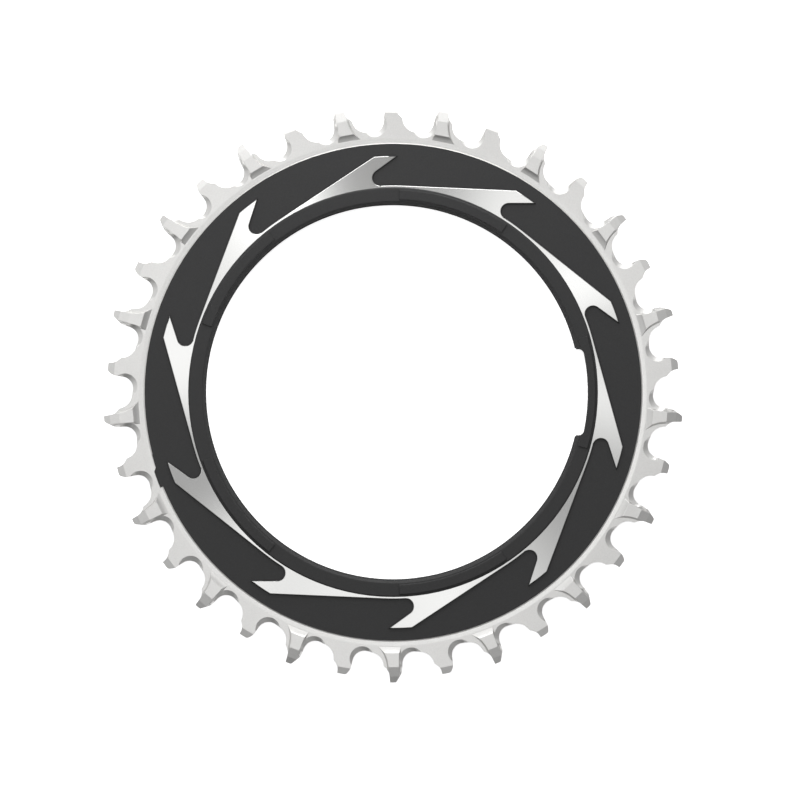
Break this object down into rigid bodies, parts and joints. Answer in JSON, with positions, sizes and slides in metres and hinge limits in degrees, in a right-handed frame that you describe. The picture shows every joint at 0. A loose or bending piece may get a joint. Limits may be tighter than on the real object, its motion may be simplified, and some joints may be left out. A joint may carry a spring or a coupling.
{
  "type": "bicycle chainring",
  "caption": "Narrow-wide bicycle chainring: thin toothed ring with alternating thick and thin teeth, swept raised lands and a large threaded bore with a notch in its rim.",
  "frame": {"origin": "on the axis of the bore, at the middle of the tooth thickness, where the chain runs", "axes": "+Z along the bore axis, out of the front (outboard) face; +X to the right and +Y up as the front face is seen, with a wide tooth pointing along -Y"},
  "size_m": [0.1448, 0.1442, 0.0065],
  "materials": {
    "ring": "black blasted and anodised, with bare machined teeth and turned bright lands"
  },
  "bodies": {
    "root": {"chainring": "ring"}
  },
  "joints": []
}
